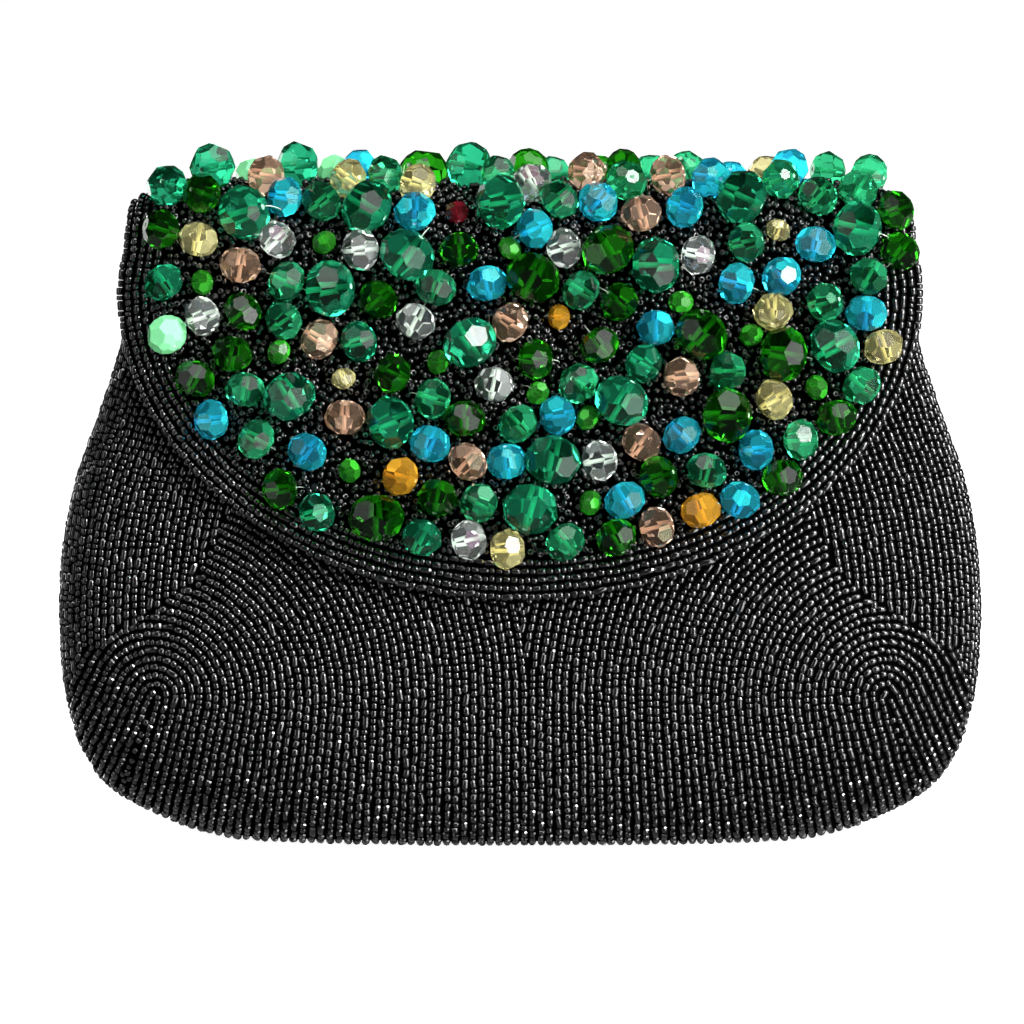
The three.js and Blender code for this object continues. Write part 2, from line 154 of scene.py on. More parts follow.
# Glass beads by colour and size. A place is a bead's centre seen from the front: across, up.
# On the ridge of the fold it is: across, degrees over the fold from the front.
LARGE = 12.4
BROAD = 10.6
MEDIUM = 9.2
SMALL = 5.6
GLASS_CHART = {
    "teal": {
        LARGE: [
            (-66, 151.5), (-36.7, 153), (-4.1, 153.8), (53, 155.4), (81, 148), (-27, 141.5), (-45.4, 133.4),
            (32.4, 139), (-12, 120.4), (24.4, 106.4), (75.4, 119.6), (-55.2, 107.6), (-31, 101.3),
            (7.8, 92.3), (2.4, 80.6),
        ],
        MEDIUM: [
            (-84.7, 158.2), (-85.4, 134.9), (-38.6, 120.7), (-48.5, 79.8), (-23.5, 73.8), (29.5, 115.4),
        ],
    },
    "emerald": {
        MEDIUM: [
            (-32.2, 160.6), (-47.5, 154.4), (-55.9, 135.1), (-56.6, 125.8), (-65.8, 109.2), (9.4, 154.9),
            (25.6, 159.4), (-20.2, 133.7), (14.5, 133), (13.8, 110.4), (-20.9, 107), (-0.5, 101),
            (62.6, 159.8), (71.4, 155.6), (81, 157.2), (54.2, 144.4), (84, 136.7), (73.1, 130.1),
            (49.3, 113.3), (81.8, 110.2), (-63.1, 97.3), (-9.9, 82), (10.8, 72.7), (67.2, 97.2),
            (44.6, 89.8),
        ],
    },
    "forest": {
        LARGE: [(20.4, 142.7), (3.4, 136.3), (43.6, 122.2), (62.9, 117.7), (49.7, 103.2), (-34.3, 78.5)],
        MEDIUM: [
            (-76.3, 156.4), (-86, 147.6), (-33.9, 130.8), (-66.2, 127.9), (-68.9, 117.8), (-77.8, 111.8),
            (-30.5, 113), (-14.6, 142.7), (23.8, 130.2), (3.8, 116.4), (19, 119.8), (-13.2, 102.2),
            (89.5, 152), (90.5, 142), (75.8, 102.5), (62.6, 88.3), (33.1, 88.3), (-57.4, 85.4),
            (-19.7, 83.3), (23, 73.9),
        ],
    },
    "leaf": {
        SMALL: [
            (-46.9, 144.5), (-76.1, 134.9), (-57.7, 118.2), (-40.8, 89.8), (-2.4, 143.1), (-19.4, 115.9),
            (4.3, 108.4), (16.6, 102.7), (38.5, 130.2), (56.1, 121.7), (71, 109.7), (16.8, 82.1),
        ],
    },
    "mint": {
        MEDIUM: [(-84.5, 122.4)],
    },
    "aqua": {
        MEDIUM: [
            (-56.4, 155.4), (-25.2, 151.9), (-73.9, 102), (-50.9, 94.3), (-21.5, 96.2), (18.7, 154.2),
            (3.1, 148.1), (-7.9, 134.6), (32.4, 123.8), (9.1, 103.2), (45.8, 160), (39.4, 152.9),
            (70.8, 144), (51.8, 134.6), (62.6, 136.3), (83, 127.4), (38.7, 98.3), (56.2, 95), (52.6, 82.8),
            (-3.2, 92), (25, 82.6),
        ],
    },
    "crystal": {
        MEDIUM: [
            (-58.2, 145.2), (-38.2, 142.7), (-25, 125.5), (2.5, 158.9), (10.3, 143), (42.6, 141.4),
            (-6.2, 110.4), (19, 92.2), (-12.2, 73.2), (-76.1, 126.7),
        ],
    },
    "jonquil": {
        MEDIUM: [
            (-41.3, 160), (-24.7, 158.6), (-77, 145.2), (60.6, 127.7), (60.8, 106.8), (87, 119.6), (-3, 71),
        ],
        SMALL: [(-42.2, 111.8), (61.8, 147.4)],
    },
    "rose": {
        MEDIUM: [
            (-61, 160.6), (-67, 139), (-48, 121.2), (-41.9, 102.5), (29, 151.4), (38.6, 112.2),
            (-12.5, 91.9), (28.8, 97), (32.6, 76.3), (16.1, 161.5), (35.5, 160.7), (-2.4, 125.3),
        ],
    },
    "amber": {
        MEDIUM: [(-28.6, 88.4), (43.2, 80.3)],
        SMALL: [(9.3, 126.6)],
    },
    "ruby": {
        SMALL: [(-15.1, 151.7)],
    },
}
RIDGE_CHART = {
    "teal": {BROAD: [(-73.7, 84), (-53.4, 95), (-12.2, 88)]},
    "emerald": {MEDIUM: [(-4.8, 66), (8, 124), (31.6, 122), (40, 108), (73.9, 110), (83.4, 112)]},
    "forest": {LARGE: [(-23.4, 133)], MEDIUM: [(2, 104), (19.9, 120), (25.1, 92)]},
    "mint": {MEDIUM: [(-63.9, 126), (-44.8, 122)]},
    "aqua": {MEDIUM: [(-38.7, 100), (51.2, 131), (64.6, 96)]},
    "jonquil": {MEDIUM: [(58.9, 122)]},
}

# Colours listed with another colour's slot in the record
SHARED_SLOTS = {"leaf": "emerald_glass", "ruby": "rose_glass"}

# How cloudy each glass is, and how light its darkest and lightest facets are beside its clear colour; the
# lighter facets carry painted sparkle and painted rim light
CLOUDS_AND_PAINTED_FACET_LIGHT = {
    "teal": (0.16, 0.02, 1.4),
    "emerald": (0.18, 0.04, 2.1),
    "forest": (0.12, 0.02, 1.2),
    "leaf": (0.5, 0.25, 2.8),
    "mint": (0.7, 0.85, 1.2),
    "aqua": (0.28, 0.2, 2.2),
    "crystal": (0.15, 0.05, 1.1),
    "jonquil": (0.22, 0.2, 1.2),
    "rose": (0.18, 0.08, 1.3),
    "amber": (0.4, 0.3, 1.3),
    "ruby": (0.4, 0.15, 1.5),
}

# Thickness in nanometres of a film that tints the gloss of some glass
FILMS = {"aqua": 412, "rose": 440, "crystal": 318}

# Softboxes: place, width and height in metres, and power in watts
SOFTBOXES = {
    "Key softbox": ((1.18, -1.1, 0.42), (1.15, 1.5), 50),
    "Key core": ((0.95, -0.95, 0.75), (0.5, 0.5), 42),
    "Left softbox": ((-1.35, -0.85, 0.5), (0.8, 1.8), 10),
    "Top softbox": ((0.2, -0.6, 1.5), (1.4, 0.7), 24),
    "Table glow": ((1.2, -0.95, -0.55), (1.2, 0.9), 26),
    "Front softbox": ((-0.3, -1.8, 0.7), (4.2, 1.6), 3),
    "Back softbox": ((-1.1, 1.5, 0.15), (1.2, 1.2), 12),
}


def small_length(name, description, millimetres):
    """A length property of a few millimetres or less"""
    return bpy.props.FloatProperty(
        name=name, description=description, default=millimetres * MM, unit="LENGTH", precision=5
    )


class BagSizes(bpy.types.PropertyGroup):
    """Sizes that a maker would change"""

    seed_width: small_length("Seed bead width", "Across a seed bead", 1.86)
    row_pitch: small_length("Row pitch", "From one row of seed beads to the next", 1.99)
    ground_spacing: small_length("Ground spacing", "Between loose seed beads around the glass beads", 1.44)
    hole_share: bpy.props.FloatProperty(
        name="Hole share", description="Width of a glass bead's hole as a share of its width", default=0.12
    )
    thread_width: small_length("Thread width", "Width of the clear sewing thread", 0.15)


def colour_property(name, colour):
    """A colour property"""
    return bpy.props.FloatVectorProperty(
        name=name, description=name + " as light leaves it", default=colour, subtype="COLOR", min=0, max=1
    )


class BagColours(bpy.types.PropertyGroup):
    """Colours that a maker would change"""

    seed_black: colour_property("Black seed glass", (0.001, 0.001, 0.0011))
    cloth_black: colour_property("Black cloth", (0.0006, 0.0006, 0.0007))
    thread: colour_property("Clear thread", (0.70, 0.78, 0.68))
    teal: colour_property("Teal glass", (0.02, 0.42, 0.20))
    emerald: colour_property("Emerald glass", (0.03, 0.42, 0.18))
    forest: colour_property("Forest glass", (0.012, 0.22, 0.005))
    leaf: colour_property("Leaf glass", (0.03, 0.30, 0.02))
    mint: colour_property("Mint glass", (0.26, 0.80, 0.38))
    aqua: colour_property("Aqua glass", (0.02, 0.47, 0.74))
    crystal: colour_property("Crystal glass", (0.85, 0.97, 0.86))
    jonquil: colour_property("Jonquil glass", (0.88, 0.78, 0.36))
    rose: colour_property("Rose glass", (0.75, 0.50, 0.355))
    amber: colour_property("Amber glass", (0.80, 0.40, 0.03))
    ruby: colour_property("Ruby glass", (0.20, 0.01, 0.02))


# Surfaces of the pouch and flap


def smooth_column(values):
    """A column of the section table as a smooth function of height"""
    slopes = np.gradient(values, SECTION_HEIGHTS)

    def at(height):
        level = np.clip(height, 0, MOUTH)
        row = np.clip(np.searchsorted(SECTION_HEIGHTS, level) - 1, 0, len(values) - 2)
        step = SECTION_HEIGHTS[row + 1] - SECTION_HEIGHTS[row]
        t = (level - SECTION_HEIGHTS[row]) / step
        low = (1 + 2 * t) * (1 - t) ** 2 * values[row] + t * (1 - t) ** 2 * step * slopes[row]
        high = t * t * (3 - 2 * t) * values[row + 1] - t * t * (1 - t) * step * slopes[row + 1]
        return low + high

    return at


half_width_at = smooth_column(HALF_WIDTHS)
front_depth_at = smooth_column(FRONT_DEPTHS)
back_depth_at = smooth_column(BACK_DEPTHS)
fullness_at = smooth_column(FULLNESSES)


def oval_share(share, fullness):
    """How much of its full depth a section keeps at a share of the way across"""
    return np.sqrt(np.clip(1 - np.abs(share) ** fullness, 0, 1))


def panel_point(turn, height, side, inset):
    """Points of a panel, turn running from a quarter turn left at one seam to a quarter turn right"""
    depth_at = front_depth_at if side == FRONT else back_depth_at
    share = np.sin(turn)
    bulge = oval_share(share, fullness_at(height)) * np.sign(np.cos(turn))
    across = (half_width_at(height) - inset) * share
    depth = side * (depth_at(height) - inset) * bulge
    return np.stack(np.broadcast_arrays(across, depth, height), -1)


def flap_point(across, along, offset, reach):
    """Points of the flap laid out flat: across, and along up its front, over the fold and down its tail"""
    turn = np.clip((along - MOUTH) / reach, 0, math.pi)
    down_tail = np.maximum(along - MOUTH - math.pi * reach, 0)
    height = np.where(along < MOUTH, along, MOUTH - down_tail)
    room = half_width_at(height) + CLASP_ROOM + offset
    share = oval_share(np.clip(across / room, -1, 1), fullness_at(height))
    front = (front_depth_at(height) + CLASP_ROOM + offset) * share
    back = (back_depth_at(height) + LAP_GAP + offset) * share
    radius = (front + back) / 2
    middle = (back - front) / 2
    depth = middle - radius * np.cos(turn)
    up = height + np.where(along < MOUTH, 0, FOLD_RISE * radius * np.sin(turn))
    return np.stack(np.broadcast_arrays(across, depth, up), -1)


def unit(vectors):
    """Vectors of length one"""
    return vectors / np.maximum(np.linalg.norm(vectors, axis=-1, keepdims=True), 1e-9)


def outward(surface, first, second, step_first, step_second):
    """Unit normals of a surface of two coordinates"""
    sideways = surface(first + step_first, second) - surface(first - step_first, second)
    upwards = surface(first, second + step_second) - surface(first, second - step_second)
    return unit(np.cross(sideways, upwards))


def panel_frame(across, height, side):
    """Seed bead centres on a panel and the way that it faces there"""
    probe_turn, probe_height = 0.002, 0.05
    reach = half_width_at(height) - SEED_INSET
    turn = np.arcsin(np.clip(across / reach, -1, 1))
    surface = partial(panel_point, side=side, inset=SEED_INSET)
    return surface(turn, height), -side * outward(surface, turn, height, probe_turn, probe_height)


def flap_frame(across, along, offset, reach):
    """Points on the flap and the way that it faces there"""
    probe = 0.05
    surface = partial(flap_point, offset=offset, reach=reach)
    return surface(across, along), outward(surface, across, along, probe, probe)


def in_shared_frame(points):
    """Millimetres from the seam plane as metres in the shared frame"""
    return (np.asarray(points) + (0, SEAM_Y, 0)) * MM


def flap_edge(across):
    """Height of the flap's lower edge"""
    return FLAP_WIDEST - FLAP_DROP * oval_share(np.asarray(across) / FLAP_HALF_WIDTH, 2)


# Seed beads threaded along rows


def distances_along(points):
    """How far along a line each of its points lies"""
    return np.concatenate([[0], np.cumsum(np.linalg.norm(np.diff(points, axis=0), axis=1))])


def joined(groups):
    """Groups of beads or threads as one"""
    return [np.concatenate(column) for column in zip(*groups)]


def those(beads, kept):
    """The seed beads that are kept"""
    return [column[kept] for column in beads]


def runs(kept):
    """Slices of a row that are kept without a break"""
    shortest = 4
    edges = np.flatnonzero(np.diff(np.concatenate([[0], kept.astype(int), [0]])))
    return [slice(start, stop) for start, stop in edges.reshape(-1, 2) if stop - start > shortest]


def threaded(points, normals, rng):
    """Seed beads threaded end to end along a row: centres, directions, facings and lengths"""
    least_step, first_gap, past_end = 1.2, 0.8, 0.5
    travelled = distances_along(points)
    count = int(travelled[-1] / least_step) + 2
    lengths = np.clip(rng.normal(SEED_LENGTH, LENGTH_SPREAD, count), SHORTEST_SEED, LONGEST_SEED)
    lengths = np.where(rng.random(count) < LONG_SHARE, lengths + LONG_EXTRA, lengths)
    ends = np.cumsum(lengths + SEED_GAP) + rng.uniform(0, first_gap)
    starts = ends - lengths
    starts, ends, lengths = those((starts, ends, lengths), ends < travelled[-1] + past_end)

    def at(rows, distance):
        return np.stack([np.interp(distance, travelled, column) for column in rows.T], -1)

    first, last = at(points, starts), at(points, ends)
    facing = unit(at(normals, (starts + ends) / 2))
    ahead = unit(last - first)
    sideways = np.cross(facing, ahead)
    slip, lift, turn = rng.normal(size=(3, len(starts), 1)) * SEED_STRAY[:, None, None]
    centres = (first + last) / 2 + slip * sideways + lift * facing
    return centres, unit(ahead + turn * sideways), facing, lengths


def arch_row(radius, core):
    """One row in front view: up its inner leg, round the core and down its outer leg"""
    slant = INNER_SLANT * max(1 - radius / core, 0) ** SLANT_EASING
    turns = np.arange(-slant, math.pi - OUTER_SLANT, ROW_STEP / radius)
    arc = np.stack([core - radius * np.cos(turns), CORE_HEIGHT + radius * np.sin(turns)], -1)
    fall = np.arange(ROW_STEP, CORE_HEIGHT + radius + PAST_FOOT, ROW_STEP)[:, None]
    inner = arc[0] + fall * (math.sin(slant), -math.cos(slant))
    outer = arc[-1] + fall * (math.sin(OUTER_SLANT), -math.cos(OUTER_SLANT))
    return np.concatenate([inner[::-1], arc, outer])


def past_meeting(across, height):
    """How far points lie above the line where the side rows end on the arches"""
    return height - np.interp(across, MEETING_ACROSS, MEETING_HEIGHT)


def side_rows(side, pitch):
    """Rows beside a side seam, each a pitch further in on the surface"""
    most_rows, margin, step, fineness = 60, 2, 0.4, 500
    heights = np.arange(MEETING_HEIGHT.min() - margin, MOUTH - margin, step)
    turns = np.linspace(math.pi / 2, 0, fineness)
    rings = [panel_point(turns, height, side, SEED_INSET) for height in heights]
    inward = [(distances_along(ring), ring[:, 0]) for ring in rings]
    for row in range(most_rows):
        distance = (row + 0.5) * pitch
        across = np.array([np.interp(distance, travelled, line) for travelled, line in inward])
        yield np.stack([across, heights], -1)


def panel_rows(side, pitch):
    """Every row of one half of a panel in front view, from its middle to its side seam"""
    overlap = 0.6 * pitch
    for row in range(int(ARCH_REACH / pitch)):
        line = arch_row((row + 0.5) * pitch, ROWS_TO_CORE * pitch)
        yield line, past_meeting(*line.T) < overlap
    for line in side_rows(side, pitch):
        yield line, past_meeting(*line.T) > -overlap


def rows_between(side, pitch):
    """Rows halfway between the arches of one half of a panel, which fill in where the legs spread apart"""
    innermost = 0.2
    for row in range(int(ARCH_REACH / pitch)):
        line = arch_row(max(row, innermost) * pitch, ROWS_TO_CORE * pitch)
        yield line, past_meeting(*line.T) < -pitch


def seeds_on_panel(side, pitch, rng):
    """Seed beads over one panel of the pouch, and on under its foot to the seam"""
    beads = thinned(laid_on_panel(panel_rows, side, pitch, rng), CLOSEST_IN_ROWS)
    between = laid_on_panel(rows_between, side, pitch, rng)
    return with_gaps_filled(with_room_used(beads, between), side, rng)


def laid_on_panel(rows_of, side, pitch, rng):
    """Seed beads along rows of both halves of a panel"""
    below_mouth, seam_margin, foot_margin, fewest_points = 3, 0.02, 0.3, 12
    past_middle = 0.6 * pitch
    found = []
    for mirror in (-1, 1):
        for line, kept in rows_of(side, pitch):
            across, height = line.T
            inside = (height > FOOT_LEVEL) & (height < MOUTH - below_mouth)
            inside &= across < half_width_at(height) - SEED_INSET - seam_margin
            shown = inside & kept & (across > -past_middle) & shown_on_panel(across, height, side)
            for run in runs(shown):
                points, normals = panel_frame(mirror * across[run], height[run], side)
                if height[run][0] < FOOT_LEVEL + foot_margin:
                    points, normals = with_foot(points, normals)
                if len(points) > fewest_points:
                    found.append(threaded(points, normals, rng))
    return joined(found)


def reach_of(lengths):
    """How far from its middle a seed bead's space is felt for, a little short of its ends"""
    end_margin = 0.5
    return lengths / 2 - end_margin


def tree_along(beads):
    """A search tree of points along the middles of seed beads"""
    centres, ahead, _, lengths = beads
    tree = KDTree(3 * len(centres))
    for index, (centre, way, reach) in enumerate(zip(centres, ahead, reach_of(lengths))):
        for step in (-1, 0, 1):
            tree.insert(centre + step * max(reach, 0) * way, index)
    tree.balance()
    return tree


def with_room_used(beads, more):
    """Seed beads with those of more rows that find room between them"""
    room = 1.36
    tree = tree_along(beads)
    centres, ahead, _, lengths = more
    reach = reach_of(lengths)[:, None] * ahead
    clear = [
        all(tree.find(point)[2] > room for point in points)
        for points in np.stack([centres - reach, centres, centres + reach], 1)
    ]
    return joined((beads, those(more, clear)))


def with_gaps_filled(beads, side, rng):
    """Seed beads with short ones added wherever the rows leave room for another"""
    room, spacing, shortest, longest = 1.45, 1.6, 1.2, 1.5
    lowest, highest, step = 1.4, 142, 0.5
    widest_turn, columns = 1.565, 640
    ahead = beads[1]
    tree = tree_along(beads)
    turns = np.linspace(-widest_turn, widest_turn, columns)
    turns, heights = np.meshgrid(turns, np.arange(lowest, highest, step))
    reach = half_width_at(heights) - SEED_INSET
    across, height = (reach * np.sin(turns)).ravel(), heights.ravel()
    shown = shown_on_panel(np.abs(across), height, side)
    points, normals = panel_frame(across[shown], height[shown], side)
    gaps = []
    for point, normal in zip(points, normals):
        _, nearest, distance = tree.find(point)
        if distance > room:
            gaps.append((distance, point, ahead[nearest], normal))
    gaps.sort(key=lambda gap: -gap[0])
    filled = []
    for gap in gaps:
        if all(np.linalg.norm(gap[1] - other[1]) > spacing for other in filled):
            filled.append(gap)
    if not filled:
        return beads
    _, more, ways, facing = (np.array(column) for column in zip(*filled))
    return joined((beads, [more, unit(ways), facing, rng.uniform(shortest, longest, len(more))]))


def shown_on_panel(across, height, side):
    """Which points of a panel lie outside the flap, or a little way under it"""
    beside_flap, under_tail = 90, 3
    if side == FRONT:
        under_edge = flap_edge(np.minimum(across, FLAP_HALF_WIDTH)) + UNDER_FLAP
        return (height < under_edge) | (across > beside_flap)
    return height < TAIL_HEIGHT + under_tail


def with_foot(points, normals):
    """A row carried on under the foot as far as the seam"""
    seam_room, lift = 0.6, 0.02
    across, depth, _ = points[0]
    depths = np.arange(math.copysign(seam_room, depth), depth, math.copysign(ROW_STEP, depth))
    under = np.stack(np.broadcast_arrays(across, depths, SEED_INSET + lift), -1)
    down = np.broadcast_to((0.0, 0.0, -1.0), under.shape)
    return np.concatenate([under, points]), np.concatenate([down, normals])


def thinned(beads, closest):
    """Seed beads without those that would run into one placed before"""
    centres = beads[0]
    tree = KDTree(len(centres))
    for index, centre in enumerate(centres):
        tree.insert(centre, index)
    tree.balance()
    kept = np.ones(len(centres), bool)
    for index, centre in enumerate(centres):
        for _, other, _ in tree.find_range(centre, closest):
            if other < index and kept[other]:
                kept[index] = False
                break
    return those(beads, kept)


def flap_outline(inset):
    """The flap's outline laid out flat, from its tail down the left, round its front and up the right"""
    step, fineness = 0.3, 1200
    turns = np.linspace(-math.pi / 2, math.pi / 2, fineness)
    lower = np.stack([FLAP_HALF_WIDTH * np.sin(turns), FLAP_WIDEST - FLAP_DROP * np.cos(turns)], -1)
    rising = np.arange(FLAP_WIDEST + step, TAIL_END, step)
    narrowing = np.clip((rising - FLAP_WIDEST) / (MOUTH - FLAP_WIDEST), 0, 1)
    over = np.clip((rising - MOUTH) / (TAIL_TOP - MOUTH), 0, 1)
    eased = narrowing * narrowing * (3 - 2 * narrowing)
    width = FLAP_HALF_WIDTH + (FOLD_HALF_WIDTH - FLAP_HALF_WIDTH) * eased
    width = width + (TAIL_HALF_WIDTH - FOLD_HALF_WIDTH) * over
    right = np.stack([width, rising], -1)
    left = right[::-1] * (-1, 1)
    line = np.concatenate([left, lower, right])
    ahead = unit(np.gradient(line, axis=0))
    inwards = np.stack([-ahead[:, 1], ahead[:, 0]], -1)
    return line + inset * inwards


def clear_of_glass(centres, glass, clearance):
    """Which seed beads stand clear of every glass bead"""
    apart = np.linalg.norm(centres[:, None] - glass["centre"][None], axis=-1)
    return (apart > glass["radius"][None] + clearance).all(axis=1)


def border_seeds(pitch, glass, rng):
    """Rows of seed beads that follow the flap's edge, the outermost a little lower"""
    drop = 0.5
    found = []
    for row in range(BORDER_ROWS):
        line = flap_outline(BORDER_OVERHANG + row * pitch)
        offset = FLAP_SEED_OFFSET - (drop if row == 0 else 0)
        found.append(threaded(*flap_frame(*line.T, offset, GROUND_REACH), rng))
    beads = joined(found)
    return those(beads, clear_of_glass(beads[0], glass, ROW_CLEARANCE))


def tail_seeds(pitch, glass, rng):
    """Rows of seed beads along the back of the fold and the tail"""
    overlap = 0.4
    reach = TAIL_HALF_WIDTH - BORDER_OVERHANG - (BORDER_ROWS - overlap) * pitch
    across = np.arange(-reach, reach, ROW_STEP)
    found = []
    for along in np.arange(MOUTH + LOOSE_END * GROUND_REACH, TAIL_END, pitch):
        row = flap_frame(across, np.full_like(across, along), FLAP_SEED_OFFSET, GROUND_REACH)
        found.append(threaded(*row, rng))
    beads = joined(found)
    return those(beads, clear_of_glass(beads[0], glass, ROW_CLEARANCE))


def loose_seeds(spacing, pitch, glass, rng):
    """Seed beads scattered around the glass beads, some lying on others"""
    upper_share, lowest_lift, highest_lift = 0.3, 0.9, 1.5
    standing_share, tumbling = 0.5, 0.5
    stray, overlap, out_of_reach = 0.42, 0.35, 1e6
    tapering, taper = 30, 0.1
    shortest, longest = 1.0, 1.45
    wide = np.arange(-FLAP_HALF_WIDTH, FLAP_HALF_WIDTH, spacing)
    tall = np.arange(FLAP_WIDEST - FLAP_DROP, MOUTH + LOOSE_END * GROUND_REACH, spacing * math.sqrt(0.75))
    across, along = np.meshgrid(wide, tall)
    across = across + spacing / 2 * (np.arange(len(tall)) % 2)[:, None]
    places = np.stack([across.ravel(), along.ravel()], -1)
    places = places + rng.uniform(-stray, stray, places.shape) * spacing
    border = flap_outline(BORDER_OVERHANG + (BORDER_ROWS - overlap) * pitch)
    lower = border[border[:, 1] < FLAP_WIDEST]
    lower = lower[np.argsort(lower[:, 0])]
    edge = np.interp(places[:, 0], *lower.T, left=out_of_reach, right=out_of_reach)
    width = np.abs(border[:, 0]).max() - np.clip(places[:, 1] - FLAP_WIDEST, 0, tapering) * taper
    places = places[(places[:, 1] > edge) & (np.abs(places[:, 0]) < width)]
    raised = rng.random(len(places)) < upper_share
    lift = np.where(raised, rng.uniform(lowest_lift, highest_lift, len(places)), 0)
    centres, normals = flap_frame(*places.T, FLAP_SEED_OFFSET, GROUND_REACH)
    centres = centres + normals * lift[:, None]
    clear = clear_of_glass(centres, glass, LOOSE_CLEARANCE)
    centres, normals = centres[clear], normals[clear]
    tumble = unit(normals + tumbling * rng.normal(size=normals.shape))
    lying = unit(np.cross(tumble, rng.normal(size=normals.shape)))
    standing = (rng.random(len(centres)) < standing_share)[:, None]
    ahead = np.where(standing, tumble, lying)
    facing = np.where(standing, lying, tumble)
    return thinned([centres, ahead, facing, rng.uniform(shortest, longest, len(centres))], CLOSEST_LOOSE)


# Glass beads


def charted_glass():
    """Colour, radius, place and whether it lies on the ridge, for each glass bead of the charts"""
    beads = []
    for chart, on_ridge in ((GLASS_CHART, False), (RIDGE_CHART, True)):
        for colour, sizes in chart.items():
            for diameter, places in sizes.items():
                beads += [(colour, diameter / 2, place, on_ridge) for place in places]
    return [np.array(column) for column in zip(*beads)]


def seen_height(points):
    """Height at which the photograph's camera sees points"""
    above, behind = points[:, 2] - AIM_HEIGHT, points[:, 1] - AIM_DEPTH
    return AIM_HEIGHT + above * math.cos(CAMERA_ELEVATION) + behind * math.sin(CAMERA_ELEVATION)


def eased_apart(feet, radius):
    """Feet of glass beads moved apart where they meet, the smaller giving way to the larger"""
    rounds, closeness, least = 40, 0.97, 0.01
    touching = closeness * (radius[:, None] + radius[None])
    weight = radius**3
    yielding = weight[None] / (weight[:, None] + weight[None])
    for _ in range(rounds):
        apart = feet[None] - feet[:, None]
        distance = np.maximum(np.linalg.norm(apart, axis=-1), least)
        push = 0.5 * yielding * np.maximum(touching - distance, 0) / distance
        feet = feet - (push[..., None] * apart).sum(axis=1)
    return feet


def seated_glass():
    """Glass beads on the flap: colour, radius, centre and the way that the flap faces there"""
    rounds, damping = 25, 0.6
    fold_top = MOUTH + BEAD_REACH * math.radians(74)
    colour, radius, places, on_ridge = charted_glass()
    feet = places.copy()
    feet[on_ridge, 1] = MOUTH + BEAD_REACH * np.radians(places[on_ridge, 1])
    for _ in range(rounds):
        base, normals = flap_frame(*feet.T, GLASS_FOOT_OFFSET, BEAD_REACH)
        centres = base + normals * radius[:, None]
        missed = places - np.stack([centres[:, 0], seen_height(centres)], -1)
        moved = feet + damping * missed
        moved[:, 1] = np.minimum(moved[:, 1], fold_top)
        feet = np.where(on_ridge[:, None], feet, moved)
    base, normals = flap_frame(*eased_apart(feet, radius).T, GLASS_FOOT_OFFSET, BEAD_REACH)
    return {
        "colour": colour,
        "radius": radius,
        "centre": base + normals * radius[:, None],
        "facing": normals,
    }


def cut_bead(sides, hole_share):
    """A round bead cut with two belts of facets and sloping ends, with a hole drilled from end to end"""
    belt_tilt, end_tilt = 0.40, 1.05
    side_reach, end_reach = 0.95, 0.9
    weld, least_inset = 0.004, 0.02
    bead = bmesh.new()
    bmesh.ops.create_cube(bead, size=2.4)
    half = math.pi / sides
    planes = []
    for step in range(sides):
        turn = 2 * math.pi * step / sides
        for tilt, twist in ((belt_tilt, 0), (-belt_tilt, half), (end_tilt, half), (-end_tilt, 0)):
            across, around = math.cos(tilt), turn + twist
            facing = Vector((across * math.cos(around), across * math.sin(around), math.sin(tilt)))
            planes.append((facing, side_reach))
    planes += [(Vector((0, 0, end)), end_reach) for end in (1, -1)]
    for facing, reach in planes:
        cut = bmesh.ops.bisect_plane(
            bead,
            geom=bead.verts[:] + bead.edges[:] + bead.faces[:],
            plane_co=facing * reach,
            plane_no=facing,
            clear_outer=True,
        )
        edges = [item for item in cut["geom_cut"] if isinstance(item, bmesh.types.BMEdge)]
        bmesh.ops.contextual_create(bead, geom=edges)
    bmesh.ops.remove_doubles(bead, verts=bead.verts[:], dist=weld)
    bmesh.ops.recalc_face_normals(bead, faces=bead.faces[:])
    ends = [face for face in bead.faces if abs(face.normal.z) > 0.99]
    mouth = min(vertex.co.xy.length for face in ends for vertex in face.verts)
    for face in ends:
        bmesh.ops.inset_individual(bead, faces=[face], thickness=max(mouth - hole_share, least_inset))
    rims = [edge for face in ends for edge in face.edges]
    bmesh.ops.delete(bead, geom=ends, context="FACES_ONLY")
    for face in bmesh.ops.bridge_loops(bead, edges=rims)["faces"]:
        face.smooth = True
        face.material_index = 1
    bmesh.ops.recalc_face_normals(bead, faces=bead.faces[:])
    return form_of(bead)


def barrel_bead(sides):
    """A seed bead for the rows: a short barrel along X, one unit long and one unit in radius"""
    bevel, narrowing = 0.16, 0.85
    bead = bmesh.new()
    bmesh.ops.create_cone(bead, cap_ends=True, segments=sides, radius1=1, radius2=1, depth=1)
    rims = [edge for edge in bead.edges if abs(edge.verts[0].co.z - edge.verts[1].co.z) < 0.1]
    bmesh.ops.bevel(
        bead,
        geom=rims,
        offset=bevel,
        offset_type="OFFSET",
        affect="EDGES",
        segments=1,
        profile=0.5,
        material=-1,
    )
    ends = [vertex for vertex in bead.verts if abs(vertex.co.z) > 0.49]
    bmesh.ops.scale(bead, verts=ends, vec=(narrowing, narrowing, 1))
    for face in bead.faces:
        face.smooth = abs(face.normal.z) < 0.1
    return laid_along_x(bead)


